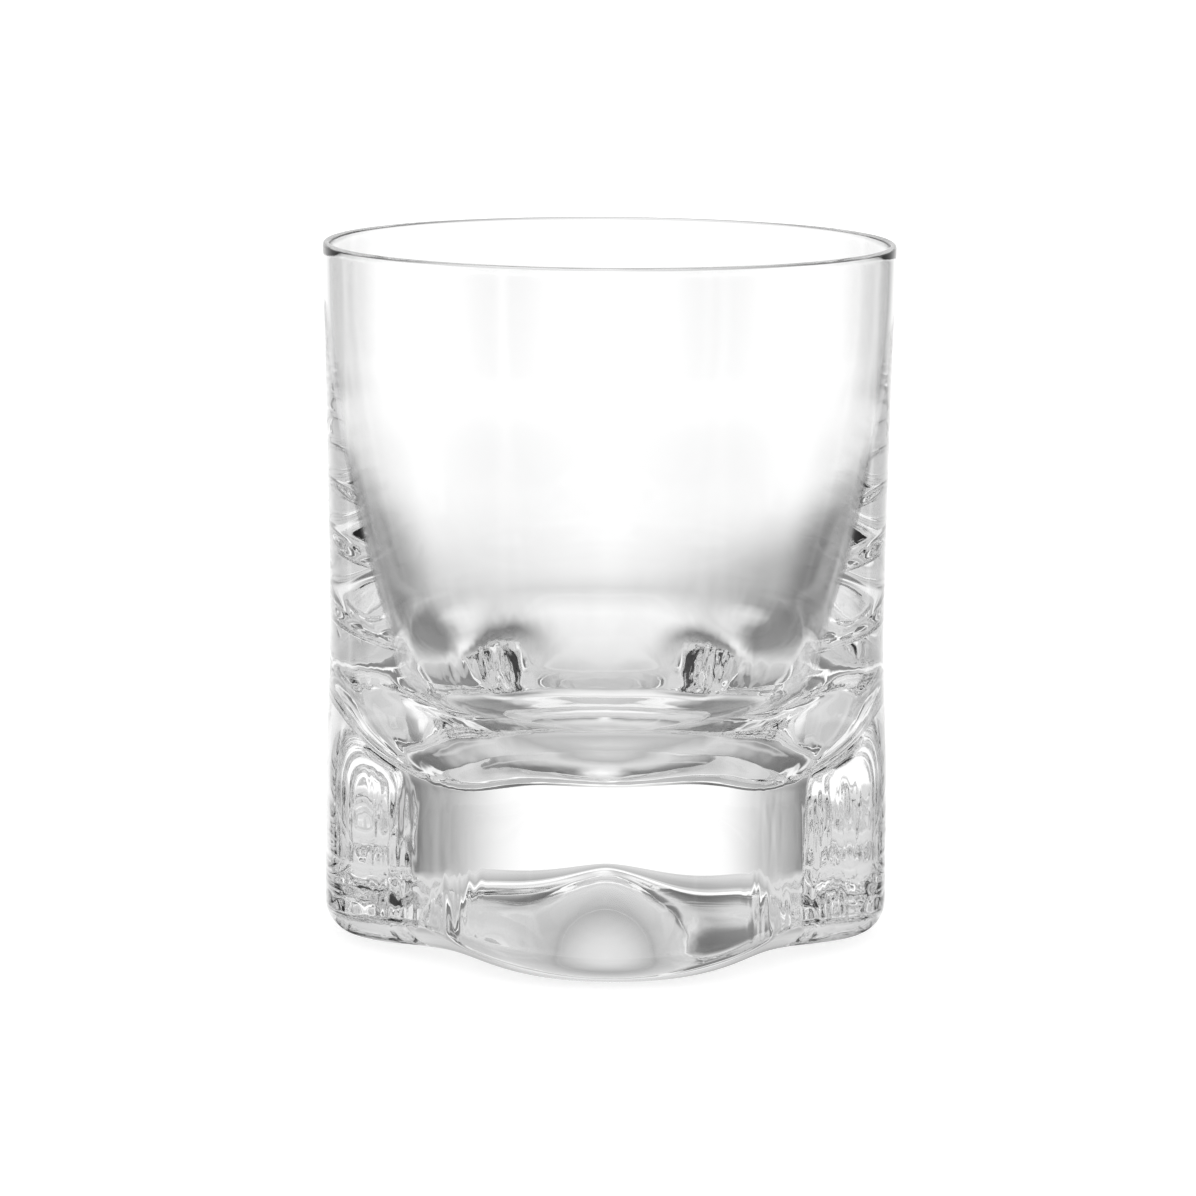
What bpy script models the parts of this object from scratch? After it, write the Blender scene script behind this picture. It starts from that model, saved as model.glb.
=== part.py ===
"""Whiskey tumbler: one piece of thick-based clear glass.

The rim is round.  In the lowest third the outer wall draws in along the four
diagonals, so the heavy base is a soft four-lobed block whose lower edge
arches up a little between the lobes.  The cavity is round with a bowl floor,
and the underside stands on a flat ring around a shallow dome.

Frame: metres, +Z up, origin at the centre of the underside, +Z on the axis
of the glass.  The four lobes point along +X, +Y, -X and -Y.
"""
import math

import bmesh
import bpy

# ---- driving dimensions (metres) -------------------------------------------
HEIGHT = 0.0950            # underside to lip
RIM_RADIUS = 0.0390        # outside, at the lip
WAIST_RADIUS = 0.03805     # outside, narrowest level
WAIST_HEIGHT = 0.0420
BASE_RADIUS = 0.03875      # outside, across the lobes of the base
FLARE_POWER = 1.35         # how late the wall leans out above the waist
BASE_SWELL = 0.024         # the wall swells to the base over this height
LIP_RADIUS = 0.00050       # rounding of the lip
CORNER_RADIUS = 0.0042     # rounding between wall and underside

LIP_WALL = 0.0010          # wall thickness just below the lip
FLOOR_WALL = 0.0068        # wall thickness where the bowl floor begins
THIN_HEIGHT = 0.0860       # the wall is thin above this level
WALL_POWER = 1.9           # how late the wall thickens below that level
BOWL_EDGE_HEIGHT = 0.0385  # level where the wall turns into the bowl floor
BOWL_FLOOR_HEIGHT = 0.0222 # level of the lowest point of the cavity
BOWL_SQUARENESS = 2.4      # exponent of the bowl section (2 is an ellipse)

LOBE_COUNT = 4
LOBE_DEPTH = 0.11          # how far the wall draws in between lobes (fraction)
LOBE_ROUND = -0.034        # second wave: broader lobes, sharper grooves
LOBE_FULL_HEIGHT = 0.0230  # full depth below this level
LOBE_END_HEIGHT = 0.0345   # round again above this level
ARCH_HEIGHT = 0.0019       # rise of the lower edge between two lobes
ARCH_TOP = 0.0200          # the rise has died out at this level
FLAT_RADIUS = 0.0270       # outer edge of the flat standing ring
DOME_RADIUS = 0.0220       # inner edge of the ring, where the dome begins
DOME_HEIGHT = 0.0115       # how far the dome lifts the middle of the underside
DOME_POWER = 1.5

STEPS = 80                 # segments around the axis
GLASS_COLOUR = (0.97, 0.98, 0.98, 1.0)
GLASS_IOR = 1.52


def smooth_step(value, low, high):
    t = min(1.0, max(0.0, (value - low) / (high - low)))
    return t * t * (3.0 - 2.0 * t)


def outer_radius(z):
    """Outside radius across the lobes: a slight waist under a straight rim."""
    if z > WAIST_HEIGHT:
        t = (z - WAIST_HEIGHT) / (HEIGHT - WAIST_HEIGHT)
        return WAIST_RADIUS + (RIM_RADIUS - WAIST_RADIUS) * t ** FLARE_POWER
    t = smooth_step(WAIST_HEIGHT - z, 0.0, BASE_SWELL)
    return WAIST_RADIUS + (BASE_RADIUS - WAIST_RADIUS) * t


def wall_thickness(z):
    """The wall is thin at the lip and thickens steadily towards the floor."""
    if z > THIN_HEIGHT:
        return LIP_WALL
    t = (THIN_HEIGHT - z) / (THIN_HEIGHT - BOWL_EDGE_HEIGHT)
    return LIP_WALL + (FLOOR_WALL - LIP_WALL) * t ** WALL_POWER


def underside_rise(radius):
    """How far the dome lifts the underside at this distance from the axis."""
    if radius > DOME_RADIUS:
        return 0.0
    return DOME_HEIGHT * (1 - (radius / DOME_RADIUS) ** DOME_POWER)


def glass_profile():
    """Half section, from the cavity floor over the lip down to the underside."""
    points = []
    # bowl floor, from the axis out to the wall
    edge = outer_radius(BOWL_EDGE_HEIGHT) - wall_thickness(BOWL_EDGE_HEIGHT)
    depth = BOWL_EDGE_HEIGHT - BOWL_FLOOR_HEIGHT
    # the bowl leaves the wall at the wall's own slope
    lean = WALL_POWER * (FLOOR_WALL - LIP_WALL) / (THIN_HEIGHT - BOWL_EDGE_HEIGHT)
    count = 12
    for i in range(count):
        a = math.pi / 2 * i / count
        below = depth * math.cos(a) ** (2 / BOWL_SQUARENESS)
        points.append(((edge - lean * below) * math.sin(a) ** (2 / BOWL_SQUARENESS),
                       BOWL_EDGE_HEIGHT - below))
    # inside wall, upwards
    lip_centre = HEIGHT - LIP_RADIUS
    count = 9
    for i in range(count + 1):
        z = BOWL_EDGE_HEIGHT + (lip_centre - BOWL_EDGE_HEIGHT) * i / count
        points.append((outer_radius(z) - wall_thickness(z), z))
    # lip, a half round between the two walls
    inner, outer = points[-1][0], outer_radius(lip_centre)
    middle, half = (inner + outer) / 2, (outer - inner) / 2
    count = 5
    for i in range(1, count):
        a = math.pi * i / count
        points.append((middle - half * math.cos(a), lip_centre + LIP_RADIUS * math.sin(a)))
    # outside wall, downwards to the corner rounding, finest where the lobes fade in
    points.append((outer, lip_centre))
    for top, bottom, count in ((lip_centre, LOBE_END_HEIGHT, 7),
                               (LOBE_END_HEIGHT, LOBE_FULL_HEIGHT, 8),
                               (LOBE_FULL_HEIGHT, CORNER_RADIUS, 6)):
        for i in range(1, count + 1):
            z = top + (bottom - top) * i / count
            points.append((outer_radius(z), z))
    # corner rounding
    count = 5
    for i in range(1, count + 1):
        a = math.pi / 2 * i / count
        points.append((outer_radius(0.0) - CORNER_RADIUS * (1 - math.cos(a)),
                       CORNER_RADIUS * (1 - math.sin(a))))
    # underside: inwards to the standing ring, across it, then up the dome
    start = points[-1][0]
    for i in range(1, 4):
        points.append((start + (FLAT_RADIUS - start) * i / 3, 0.0))
    count = 9
    for i in range(count):
        radius = DOME_RADIUS * (1 - i / count)
        points.append((radius, underside_rise(radius)))
    points.append((0.0, DOME_HEIGHT))
    return points


def turned_mesh(name, points, collection):
    """Turn the half section about Z with a Screw modifier and read the result."""
    mesh = bpy.data.meshes.new(name + "_profile")
    mesh.from_pydata([(r, 0.0, z) for r, z in points],
                     [(i, i + 1) for i in range(len(points) - 1)], [])
    profile = bpy.data.objects.new(name + "_profile", mesh)
    collection.objects.link(profile)
    screw = profile.modifiers.new("turn", "SCREW")
    screw.axis = 'Z'
    screw.angle = 2 * math.pi
    screw.steps = STEPS
    screw.render_steps = STEPS
    screw.use_merge_vertices = True
    screw.merge_threshold = 0.00005
    screw.use_normal_calculate = True
    bpy.context.view_layer.update()
    graph = bpy.context.evaluated_depsgraph_get()
    turned = bpy.data.meshes.new_from_object(profile.evaluated_get(graph))
    turned.name = name
    bpy.data.objects.remove(profile, do_unlink=True)
    return turned


def shape_lobes(mesh):
    """Draw the outside of the base in between the lobes and arch its edge."""
    form = bmesh.new()
    form.from_mesh(mesh)
    bmesh.ops.remove_doubles(form, verts=form.verts, dist=0.00002)
    for vert in form.verts:
        x, y, z = vert.co
        radius = math.hypot(x, y)
        if radius < 1e-6:
            continue
        angle = math.atan2(y, x)
        between = (1.0 - math.cos(LOBE_COUNT * angle)) / 2.0
        between_twice = (1.0 - math.cos(2 * LOBE_COUNT * angle)) / 2.0
        depth = LOBE_DEPTH * between + LOBE_ROUND * between_twice
        under = z < DOME_HEIGHT and radius < FLAT_RADIUS + 1e-5
        if under:
            scale = 1.0 - depth * (radius / FLAT_RADIUS) ** 2
            vert.co = (x * scale, y * scale, z)
            continue
        if z > CORNER_RADIUS and radius < outer_radius(z) - 0.0004:
            continue
        fade = 1.0 - smooth_step(z, LOBE_FULL_HEIGHT, LOBE_END_HEIGHT)
        scale = 1.0 - depth * fade
        lift = (ARCH_HEIGHT * between * smooth_step(radius, FLAT_RADIUS, BASE_RADIUS)
                * (1.0 - smooth_step(z, 0.0, ARCH_TOP)))
        vert.co = (x * scale, y * scale, z + lift)
    bmesh.ops.recalc_face_normals(form, faces=form.faces)
    form.to_mesh(mesh)
    form.free()
    mesh.update()


def glass_material():
    material = bpy.data.materials.new("clear_glass")
    material.use_nodes = True
    shader = material.node_tree.nodes["Principled BSDF"]
    shader.inputs["Base Color"].default_value = GLASS_COLOUR
    shader.inputs["Roughness"].default_value = 0.02
    shader.inputs["Metallic"].default_value = 0.0
    shader.inputs["IOR"].default_value = GLASS_IOR
    shader.inputs["Transmission Weight"].default_value = 1.0
    return material


def main():
    for old in list(bpy.data.objects):
        bpy.data.objects.remove(old, do_unlink=True)
    collection = bpy.data.collections.new("whiskey_tumbler")
    bpy.context.scene.collection.children.link(collection)

    mesh = turned_mesh("tumbler_glass", glass_profile(), collection)
    shape_lobes(mesh)
    mesh.materials.clear()
    mesh.materials.append(glass_material())
    glass = bpy.data.objects.new("tumbler_glass", mesh)
    collection.objects.link(glass)
    mesh.shade_smooth()


main()
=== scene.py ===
"""Whiskey tumbler: glass, floor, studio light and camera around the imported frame.

The glass is one moulded body: a round thin lip, straight walls, a heavy base
that is drawn in along four diagonals, a rounded bowl inside and a domed
underside.  It is rebuilt here with a finer mesh than the CAD solid, on the same
rules and inside the same box.
"""
import math
import bmesh
import bpy
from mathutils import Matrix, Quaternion, Vector


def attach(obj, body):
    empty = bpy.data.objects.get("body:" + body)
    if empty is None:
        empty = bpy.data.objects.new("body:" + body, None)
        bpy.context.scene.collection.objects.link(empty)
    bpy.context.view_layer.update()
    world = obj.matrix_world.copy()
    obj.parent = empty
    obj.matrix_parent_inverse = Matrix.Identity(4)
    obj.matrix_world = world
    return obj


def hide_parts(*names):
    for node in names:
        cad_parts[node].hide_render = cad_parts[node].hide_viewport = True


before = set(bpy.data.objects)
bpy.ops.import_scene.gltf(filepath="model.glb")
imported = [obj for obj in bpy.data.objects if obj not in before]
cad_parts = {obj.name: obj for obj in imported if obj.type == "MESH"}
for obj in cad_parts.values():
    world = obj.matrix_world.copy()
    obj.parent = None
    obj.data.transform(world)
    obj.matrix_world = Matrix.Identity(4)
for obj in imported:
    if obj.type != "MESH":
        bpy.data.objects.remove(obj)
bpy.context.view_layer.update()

NODE = "tumbler_glass"

# ---- driving dimensions, metres ------------------------------------------------
HEIGHT = 0.0950
RIM_RADIUS = 0.0390
WAIST_RADIUS = 0.03805
WAIST_HEIGHT = 0.0420
BASE_RADIUS = 0.03875
FLARE_POWER = 1.35
BASE_SWELL = 0.024
LIP_RADIUS = 0.00050
CORNER_RADIUS = 0.0042
LIP_WALL = 0.0010
FLOOR_WALL = 0.0068
THIN_HEIGHT = 0.0860
WALL_POWER = 1.9
BOWL_EDGE_HEIGHT = 0.0385
BOWL_FLOOR_HEIGHT = 0.0222
BOWL_SQUARENESS = 2.4

LOBE_DEPTH = 0.11
LOBE_ROUND = -0.034
LOBE_FULL_HEIGHT = 0.0230
LOBE_END_HEIGHT = 0.0345
ARCH_HEIGHT = 0.0019
ARCH_TOP = 0.020
FLAT_RADIUS = 0.0270

DOME_HEIGHT = 0.0115
DOME_RADIUS = 0.0220
DOME_POWER = 1.5

STEPS = 256
BOWL_RINGS = 34
WALL_RINGS = 48
LIP_RINGS = 8
OUTER_RINGS = 64
CORNER_RINGS = 10
UNDER_RINGS = 36


def smooth_step(value, low, high):
    t = min(1.0, max(0.0, (value - low) / (high - low)))
    return t * t * (3.0 - 2.0 * t)


def outer_radius(z):
    if z > WAIST_HEIGHT:
        t = (z - WAIST_HEIGHT) / (HEIGHT - WAIST_HEIGHT)
        return WAIST_RADIUS + (RIM_RADIUS - WAIST_RADIUS) * t ** FLARE_POWER
    return WAIST_RADIUS + (BASE_RADIUS - WAIST_RADIUS) * smooth_step(
        WAIST_HEIGHT - z, 0.0, BASE_SWELL)


def wall_thickness(z):
    if z > THIN_HEIGHT:
        return LIP_WALL
    t = (THIN_HEIGHT - z) / (THIN_HEIGHT - BOWL_EDGE_HEIGHT)
    return LIP_WALL + (FLOOR_WALL - LIP_WALL) * t ** WALL_POWER


def glass_profile():
    """(radius, height, is_outside) from the bowl's centre over the lip to the axis."""
    points = []
    edge = outer_radius(BOWL_EDGE_HEIGHT) - wall_thickness(BOWL_EDGE_HEIGHT)
    depth = BOWL_EDGE_HEIGHT - BOWL_FLOOR_HEIGHT
    # the bowl leaves the wall at the wall's own slope
    lean = WALL_POWER * (FLOOR_WALL - LIP_WALL) / (THIN_HEIGHT - BOWL_EDGE_HEIGHT)
    for i in range(BOWL_RINGS):
        a = math.pi / 2 * i / BOWL_RINGS
        below = depth * math.cos(a) ** (2 / BOWL_SQUARENESS)
        points.append(((edge - lean * below) * math.sin(a) ** (2 / BOWL_SQUARENESS),
                       BOWL_EDGE_HEIGHT - below, False))
    lip_centre = HEIGHT - LIP_RADIUS
    for i in range(WALL_RINGS + 1):
        z = BOWL_EDGE_HEIGHT + (lip_centre - BOWL_EDGE_HEIGHT) * i / WALL_RINGS
        points.append((outer_radius(z) - wall_thickness(z), z, False))
    inner, outer = points[-1][0], outer_radius(lip_centre)
    middle, half = (inner + outer) / 2, (outer - inner) / 2
    for i in range(1, LIP_RINGS):
        a = math.pi * i / LIP_RINGS
        points.append((middle - half * math.cos(a), lip_centre + LIP_RADIUS * math.sin(a), True))
    for i in range(OUTER_RINGS + 1):
        z = lip_centre + (CORNER_RADIUS - lip_centre) * i / OUTER_RINGS
        points.append((outer_radius(z), z, True))
    for i in range(1, CORNER_RINGS + 1):
        a = math.pi / 2 * i / CORNER_RINGS
        points.append((outer_radius(0.0) - CORNER_RADIUS * (1 - math.cos(a)),
                       CORNER_RADIUS * (1 - math.sin(a)), True))
    start = points[-1][0]
    for i in range(1, UNDER_RINGS + 1):
        points.append((start * (1 - i / UNDER_RINGS), 0.0, True))
    return points


def underside_rise(radius):
    """How far the dome lifts the middle of the underside."""
    if radius > DOME_RADIUS:
        return 0.0
    return DOME_HEIGHT * (1 - (radius / DOME_RADIUS) ** DOME_POWER)


def shaped_point(radius, height, angle):
    """The round profile drawn in along the diagonals, with the raised underside."""
    between = (1 - math.cos(4 * angle)) / 2
    between_8 = (1 - math.cos(8 * angle)) / 2
    fade = 1 - smooth_step(height, LOBE_FULL_HEIGHT, LOBE_END_HEIGHT)
    r = radius * (1 - (LOBE_DEPTH * between + LOBE_ROUND * between_8) * fade)
    if height < CORNER_RADIUS and radius < FLAT_RADIUS:
        near = (radius / FLAT_RADIUS) ** 2
        r = radius * (1 - (LOBE_DEPTH * between + LOBE_ROUND * between_8) * near)
    z = height + ARCH_HEIGHT * between * smooth_step(radius, FLAT_RADIUS, BASE_RADIUS) * (
        1 - smooth_step(height, 0.0, ARCH_TOP))
    if height < 1e-6:
        z += underside_rise(radius)
    return r * math.cos(angle), r * math.sin(angle), z


def make_glass():
    bm = bmesh.new()
    rings = []
    for radius, height, outside in glass_profile():
        if radius < 1e-7:
            z = height + (underside_rise(0.0) if outside else 0.0)
            rings.append([bm.verts.new((0.0, 0.0, z))])
            continue
        ring = []
        for j in range(STEPS):
            angle = 2 * math.pi * j / STEPS
            if outside:
                ring.append(bm.verts.new(shaped_point(radius, height, angle)))
            else:
                ring.append(bm.verts.new((radius * math.cos(angle), radius * math.sin(angle), height)))
        rings.append(ring)
    for a, b in zip(rings, rings[1:]):
        for j in range(STEPS):
            k = (j + 1) % STEPS
            if len(a) == 1:
                bm.faces.new((a[0], b[j], b[k]))
            elif len(b) == 1:
                bm.faces.new((a[j], b[0], a[k]))
            else:
                bm.faces.new((a[j], b[j], b[k], a[k]))
    bmesh.ops.recalc_face_normals(bm, faces=bm.faces)
    mesh = bpy.data.meshes.new("glass_body")
    bm.to_mesh(mesh)
    bm.free()
    mesh.shade_smooth()
    piece = bpy.data.objects.new("glass_body", mesh)
    bpy.context.scene.collection.objects.link(piece)
    return piece


# ---- surface -------------------------------------------------------------------
GROOVE_RIPPLE = 0.7
BOWL_RIPPLE = 0.08
RIPPLE_SCALE = 260.0
RIPPLE_STRETCH = 0.3
RIPPLE_TOP = (0.021, 0.027)
GROOVE_SIDE = (0.39, 0.49)


# ---- materials -------------------------------------------------------------------
def new_material(name):
    material = bpy.data.materials.new(name)
    material.use_nodes = True
    tree = material.node_tree
    tree.nodes.clear()
    return material, tree.nodes, tree.links


def glass_material():
    material, nodes, links = new_material("clear_moulded_glass")
    output = nodes.new("ShaderNodeOutputMaterial")
    shader = nodes.new("ShaderNodeBsdfPrincipled")
    shader.inputs["IOR"].default_value = 1.52
    shader.inputs["Transmission Weight"].default_value = 1.0
    shader.inputs["Metallic"].default_value = 0.0
    coord = nodes.new("ShaderNodeTexCoord")

    # a trace of tint that drifts through the melt
    drift = nodes.new("ShaderNodeTexNoise")
    drift.inputs["Scale"].default_value = 22.0
    drift.inputs["Detail"].default_value = 2.0
    tint = nodes.new("ShaderNodeValToRGB")
    tint.color_ramp.elements[0].position = 0.3
    tint.color_ramp.elements[0].color = (0.986, 0.987, 0.987, 1.0)
    tint.color_ramp.elements[1].position = 0.7
    tint.color_ramp.elements[1].color = (0.998, 0.998, 0.998, 1.0)
    links.new(coord.outputs["Object"], drift.inputs["Vector"])
    links.new(drift.outputs["Fac"], tint.inputs["Fac"])
    links.new(tint.outputs["Color"], shader.inputs["Base Color"])

    # slow waves left by the mould and the fire polish
    waves = nodes.new("ShaderNodeTexNoise")
    waves.inputs["Scale"].default_value = 70.0
    waves.inputs["Detail"].default_value = 1.0
    bump = nodes.new("ShaderNodeBump")
    bump.inputs["Strength"].default_value = 0.05
    bump.inputs["Distance"].default_value = 0.0004
    links.new(coord.outputs["Object"], waves.inputs["Vector"])
    links.new(waves.outputs["Fac"], bump.inputs["Height"])

    # the grooves and the bowl keep the ripples of the mould
    split = nodes.new("ShaderNodeSeparateXYZ")
    links.new(coord.outputs["Object"], split.inputs[0])

    def math_node(op, *inputs):
        node = nodes.new("ShaderNodeMath")
        node.operation = op
        for i, value in enumerate(inputs):
            if isinstance(value, (int, float)):
                node.inputs[i].default_value = value
            else:
                links.new(value, node.inputs[i])
        return node.outputs[0]

    def band(value, low, high):
        node = nodes.new("ShaderNodeMapRange")
        node.interpolation_type = "SMOOTHSTEP"
        node.inputs["From Min"].default_value = low
        node.inputs["From Max"].default_value = high
        links.new(value, node.inputs["Value"])
        return node.outputs["Result"]

    x, y, z = split.outputs
    across = math_node("MULTIPLY", math_node("ABSOLUTE", x), math_node("ABSOLUTE", y))
    square = math_node("ADD", math_node("MULTIPLY", x, x), math_node("MULTIPLY", y, y))
    side = math_node("DIVIDE", across, math_node("ADD", square, 1e-7))
    radius = math_node("SQRT", square)
    low = math_node("SUBTRACT", band(z, 0.003, 0.006), band(z, RIPPLE_TOP[0], RIPPLE_TOP[1]))
    groove = math_node("MULTIPLY", math_node("MULTIPLY", band(side, GROOVE_SIDE[0], GROOVE_SIDE[1]), low),
                       band(radius, 0.026, 0.030))
    bowl = math_node("MULTIPLY", math_node("SUBTRACT", 1.0, band(radius, 0.030, 0.033)),
                     math_node("SUBTRACT", band(z, 0.016, 0.020), band(z, 0.036, 0.044)))
    mask = math_node("MAXIMUM", math_node("MULTIPLY", groove, GROOVE_RIPPLE),
                     math_node("MULTIPLY", bowl, BOWL_RIPPLE))
    ripples = nodes.new("ShaderNodeTexNoise")
    ripples.inputs["Scale"].default_value = RIPPLE_SCALE
    ripples.inputs["Detail"].default_value = 1.5
    stretch = nodes.new("ShaderNodeMapping")
    stretch.inputs["Scale"].default_value = (1.0, 1.0, RIPPLE_STRETCH)
    links.new(coord.outputs["Object"], stretch.inputs["Vector"])
    links.new(stretch.outputs["Vector"], ripples.inputs["Vector"])
    deep = nodes.new("ShaderNodeBump")
    deep.inputs["Distance"].default_value = 0.001
    links.new(mask, deep.inputs["Strength"])
    links.new(ripples.outputs["Fac"], deep.inputs["Height"])
    links.new(bump.outputs["Normal"], deep.inputs["Normal"])
    links.new(deep.outputs["Normal"], shader.inputs["Normal"])

    # polish: near mirror, a little softer in patches
    polish = nodes.new("ShaderNodeMapRange")
    polish.inputs["From Min"].default_value = 0.3
    polish.inputs["From Max"].default_value = 0.8
    polish.inputs["To Min"].default_value = 0.0
    polish.inputs["To Max"].default_value = 0.012
    links.new(drift.outputs["Fac"], polish.inputs["Value"])
    links.new(polish.outputs["Result"], shader.inputs["Roughness"])
    links.new(shader.outputs["BSDF"], output.inputs["Surface"])
    return material


def floor_material():
    material, nodes, links = new_material("studio_floor")
    output = nodes.new("ShaderNodeOutputMaterial")
    shader = nodes.new("ShaderNodeBsdfPrincipled")
    shader.inputs["Roughness"].default_value = 0.9
    shader.inputs["Specular IOR Level"].default_value = 0.0
    shader.inputs["Emission Color"].default_value = (1.0, 1.0, 1.0, 1.0)
    shader.inputs["Emission Strength"].default_value = FLOOR_GLOW
    coord = nodes.new("ShaderNodeTexCoord")
    grain = nodes.new("ShaderNodeTexNoise")
    grain.inputs["Scale"].default_value = 3.0
    ramp = nodes.new("ShaderNodeValToRGB")
    ramp.color_ramp.elements[0].color = (0.895, 0.895, 0.895, 1.0)
    ramp.color_ramp.elements[1].color = (0.905, 0.905, 0.905, 1.0)
    links.new(coord.outputs["Object"], grain.inputs["Vector"])
    links.new(grain.outputs["Fac"], ramp.inputs["Fac"])
    links.new(ramp.outputs["Color"], shader.inputs["Base Color"])
    links.new(shader.outputs["BSDF"], output.inputs["Surface"])
    return material


# ---- studio ------------------------------------------------------------------------
# The room has one soft white panel facing each side of the glass.  Two grey gaps lie
# beside each panel: one just under the horizon, one lower down, over the dark end of
# the table.  Rises and turns are in degrees, the rest is brightness.
ROOM_STOPS = ((-90, 0.65), (-72, 0.47), (-57, 0.75), (-46, 0.90), (-36, 1.02), (-26, 0.75), (-18, 1.08), (-10, 1.14), (-3, 1.08), (4, 0.72), (12, 0.68), (22, 0.72), (40, 0.58), (60, 0.42), (78, 0.70), (90, 0.80))
SIDE_RISE = (-17.0, -14.5, -6.0, 10.0)
SIDE_TURN = (11.0, 40.0)
SIDE_DEPTH = 0.88
LOW_RISE = (-62.0, -36.0, -23.5, -18.0)
LOW_TURN = (1.0, 14.0)
LOW_DEPTH = 0.82
SLOT_TURN = (41.0, 45.0)
SLOT_BRIGHT = 0.4
SUN_ENERGY = 0.35
FLOOR_GLOW = 0.65


def make_world():
    world = bpy.data.worlds.new("studio")
    bpy.context.scene.world = world
    world.use_nodes = True
    nodes, links = world.node_tree.nodes, world.node_tree.links
    nodes.clear()

    def math_node(op, *inputs):
        node = nodes.new("ShaderNodeMath")
        node.operation = op
        for i, value in enumerate(inputs):
            if isinstance(value, (int, float)):
                node.inputs[i].default_value = value
            else:
                links.new(value, node.inputs[i])
        return node.outputs[0]

    def step(value, low, high):
        node = nodes.new("ShaderNodeMapRange")
        node.interpolation_type = "SMOOTHSTEP"
        node.inputs["From Min"].default_value = low
        node.inputs["From Max"].default_value = high
        links.new(value, node.inputs["Value"])
        return node.outputs["Result"]

    coord = nodes.new("ShaderNodeTexCoord")
    split = nodes.new("ShaderNodeSeparateXYZ")
    links.new(coord.outputs["Generated"], split.inputs[0])
    x, y, z = split.outputs
    turn = math_node("DEGREES", math_node("ARCTAN2", x, y))
    aside = math_node("PINGPONG", math_node("ABSOLUTE", turn), 45.0)
    rise = math_node("DEGREES", math_node("ARCSINE", z))

    ramp = nodes.new("ShaderNodeValToRGB")
    ramp.color_ramp.interpolation = "LINEAR"
    stops = ramp.color_ramp.elements
    while len(stops) < len(ROOM_STOPS):
        stops.new(0.5)
    for stop, (angle, bright) in zip(stops, ROOM_STOPS):
        stop.position = (angle + 90) / 180
        level = bright / 1.5
        stop.color = (level, level, level, 1.0)
    links.new(math_node("DIVIDE", math_node("ADD", rise, 90.0), 180.0), ramp.inputs["Fac"])
    base = math_node("MULTIPLY", ramp.outputs["Color"], 1.5)

    slot = math_node("MULTIPLY", step(aside, *SLOT_TURN), SLOT_BRIGHT)

    def gap(rises, turns, depth):
        band = math_node("MULTIPLY", step(rise, rises[0], rises[1]),
                         math_node("SUBTRACT", 1.0, step(rise, rises[2], rises[3])))
        across = math_node("MAXIMUM", math_node("SUBTRACT", step(aside, *turns), slot), 0.0)
        dark = math_node("MULTIPLY", math_node("MULTIPLY", band, across), depth)
        return math_node("SUBTRACT", 1.0, dark)

    value = math_node("MULTIPLY", base, math_node("MULTIPLY", gap(SIDE_RISE, SIDE_TURN, SIDE_DEPTH),
                                                  gap(LOW_RISE, LOW_TURN, LOW_DEPTH)))

    seen = nodes.new("ShaderNodeLightPath")
    room = nodes.new("ShaderNodeBackground")
    links.new(value, room.inputs["Strength"])
    room.inputs["Color"].default_value = (1, 1, 1, 1)
    paper = nodes.new("ShaderNodeBackground")
    paper.inputs["Color"].default_value = (1, 1, 1, 1)
    paper.inputs["Strength"].default_value = 1.0
    mix = nodes.new("ShaderNodeMixShader")
    links.new(seen.outputs["Is Camera Ray"], mix.inputs[0])
    links.new(room.outputs[0], mix.inputs[1])
    links.new(paper.outputs[0], mix.inputs[2])
    out = nodes.new("ShaderNodeOutputWorld")
    links.new(mix.outputs[0], out.inputs[0])


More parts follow.
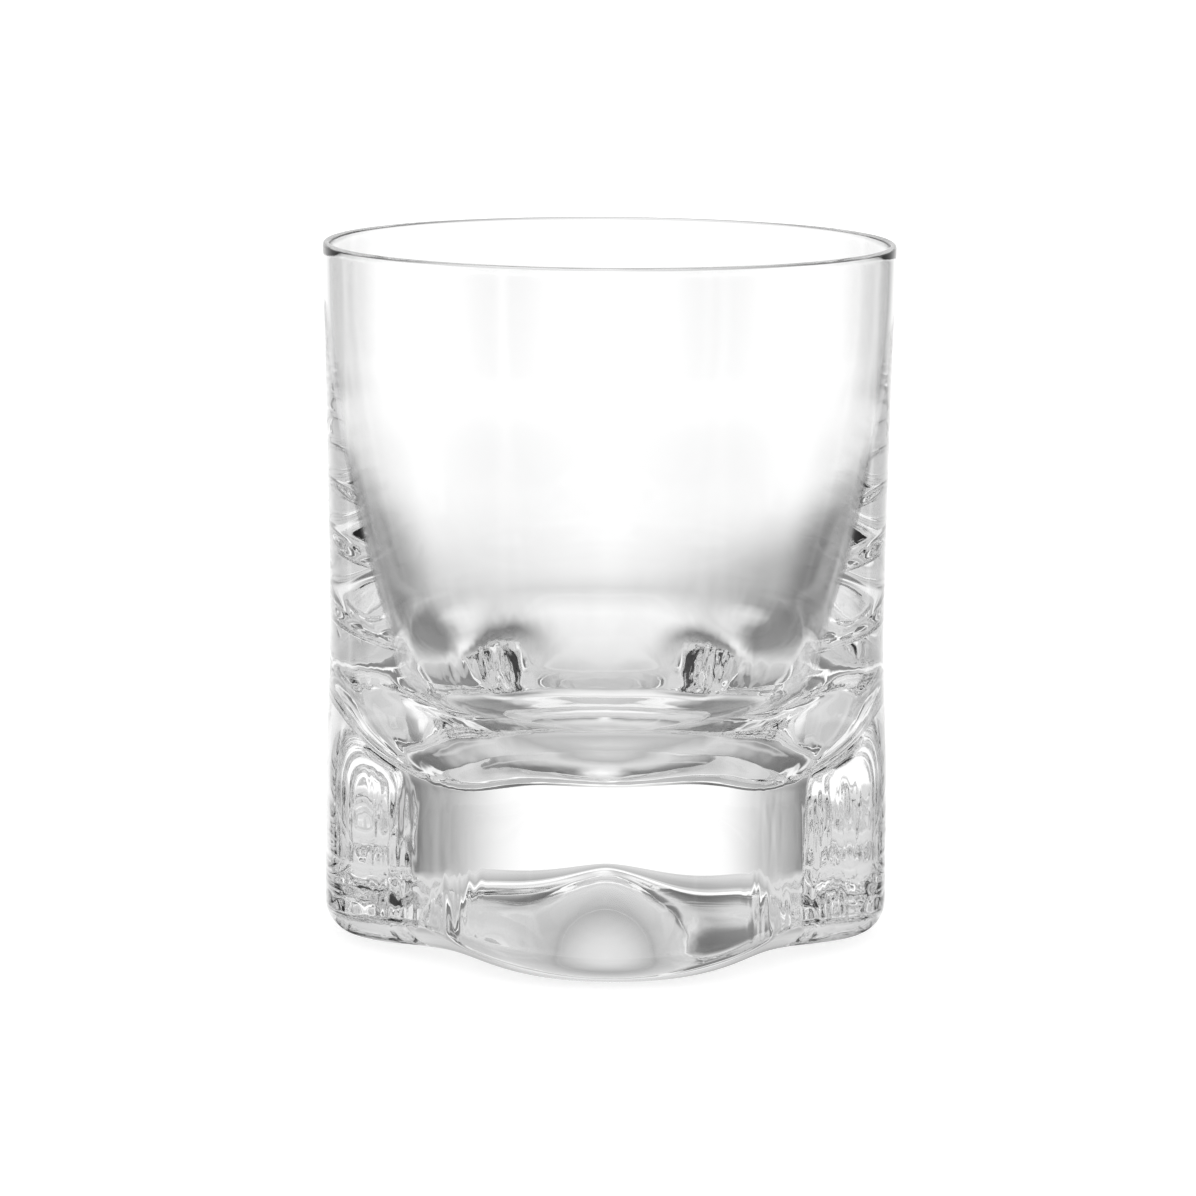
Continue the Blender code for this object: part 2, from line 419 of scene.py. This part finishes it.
def make_floor():
    mesh = bpy.data.meshes.new("floor")
    s = 6.0
    mesh.from_pydata([(-s, -s, 0), (s, -s, 0), (s, s, 0), (-s, s, 0)], [], [(0, 1, 2, 3)])
    floor = bpy.data.objects.new("floor", mesh)
    floor.location.z = -0.0003
    bpy.context.scene.collection.objects.link(floor)
    mesh.materials.append(floor_material())
    # the glass looks past the floor into the room, as it would on a clear stand
    floor.visible_transmission = False
    floor.visible_glossy = False


def make_top_light():
    data = bpy.data.lights.new("overhead", "SUN")
    data.energy = SUN_ENERGY
    data.angle = math.radians(8)
    light = bpy.data.objects.new("overhead", data)
    light.location = (0, 0, 2)
    bpy.context.scene.collection.objects.link(light)
    light.visible_glossy = False
    light.visible_transmission = False


# ---- camera --------------------------------------------------------------------------
def make_camera():
    """Close camera, 5 degrees above the lip, with the lip's circle 574 px wide of 1196."""
    distance = 18 * RIM_RADIUS
    height = HEIGHT + distance * math.tan(math.radians(5.15))
    turn = math.radians(2.0)
    place = Vector((-distance * math.sin(turn), -distance * math.cos(turn), height))
    look = Vector((0.0, 0.0, 0.045)) - place
    rotation = look.to_track_quat("-Z", "Y") @ Quaternion((0, 0, 1), math.radians(0.4))
    forward = look.normalized()
    depth = (Vector((0, 0, HEIGHT)) - place).dot(forward)
    focal = 574 / 2 * depth / RIM_RADIUS
    data = bpy.data.cameras.new("camera")
    camera = bpy.data.objects.new("camera", data)
    bpy.context.scene.collection.objects.link(camera)
    camera.location = place
    camera.rotation_mode = "QUATERNION"
    camera.rotation_quaternion = rotation
    data.sensor_width = 36.0
    data.lens = focal / 1196 * 36.0
    data.clip_start = 0.01
    data.clip_end = 100.0
    right, up = rotation @ Vector((1, 0, 0)), rotation @ Vector((0, 1, 0))
    rim = Vector((0, 0, HEIGHT)) - place
    x = focal * rim.dot(right) / rim.dot(forward)
    y = -focal * rim.dot(up) / rim.dot(forward)
    data.shift_x = -((609.7 - 598) - x) / 1196
    data.shift_y = ((241 - 598) - y) / 1196
    bpy.context.scene.camera = camera


glass = make_glass()
glass.data.materials.append(glass_material())
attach(glass, "root")
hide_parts(NODE)

make_world()
make_floor()
make_top_light()
make_camera()
bpy.context.scene.view_settings.view_transform = "Standard"
# light makes many passes inside a thick clear base before it leaves
bpy.context.scene.cycles.max_bounces = 32
bpy.context.scene.cycles.transmission_bounces = 32
bpy.context.scene.cycles.glossy_bounces = 32
